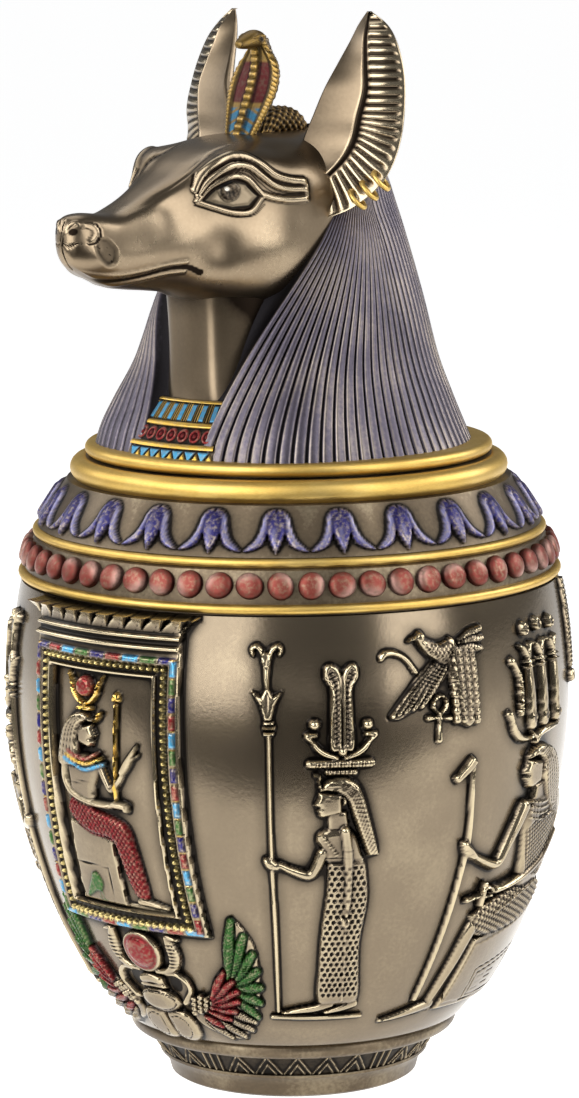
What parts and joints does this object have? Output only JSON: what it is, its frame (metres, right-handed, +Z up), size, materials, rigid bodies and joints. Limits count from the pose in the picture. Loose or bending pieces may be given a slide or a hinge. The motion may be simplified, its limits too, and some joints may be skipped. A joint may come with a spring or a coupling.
{
  "type": "canopic jar",
  "caption": "Egyptian-style canopic jar with a jackal-headed lid, a framed panel and carved figures in an antique bronze finish.",
  "frame": {"origin": "centre of the foot's underside", "axes": "+Z up the jar; the framed panel and the jackal's nose face -Y; the ear nearer the camera is at +X"},
  "size_m": [0.1771, 0.1881, 0.33],
  "materials": {
    "jar_bronze": "cast resin with an antique bronze finish and painted details",
    "lid_bronze": "cast resin with an antique bronze finish, gold bands and painted details"
  },
  "bodies": {
    "root": {"jar": "jar_bronze", "lid": "lid_bronze"}
  },
  "joints": []
}
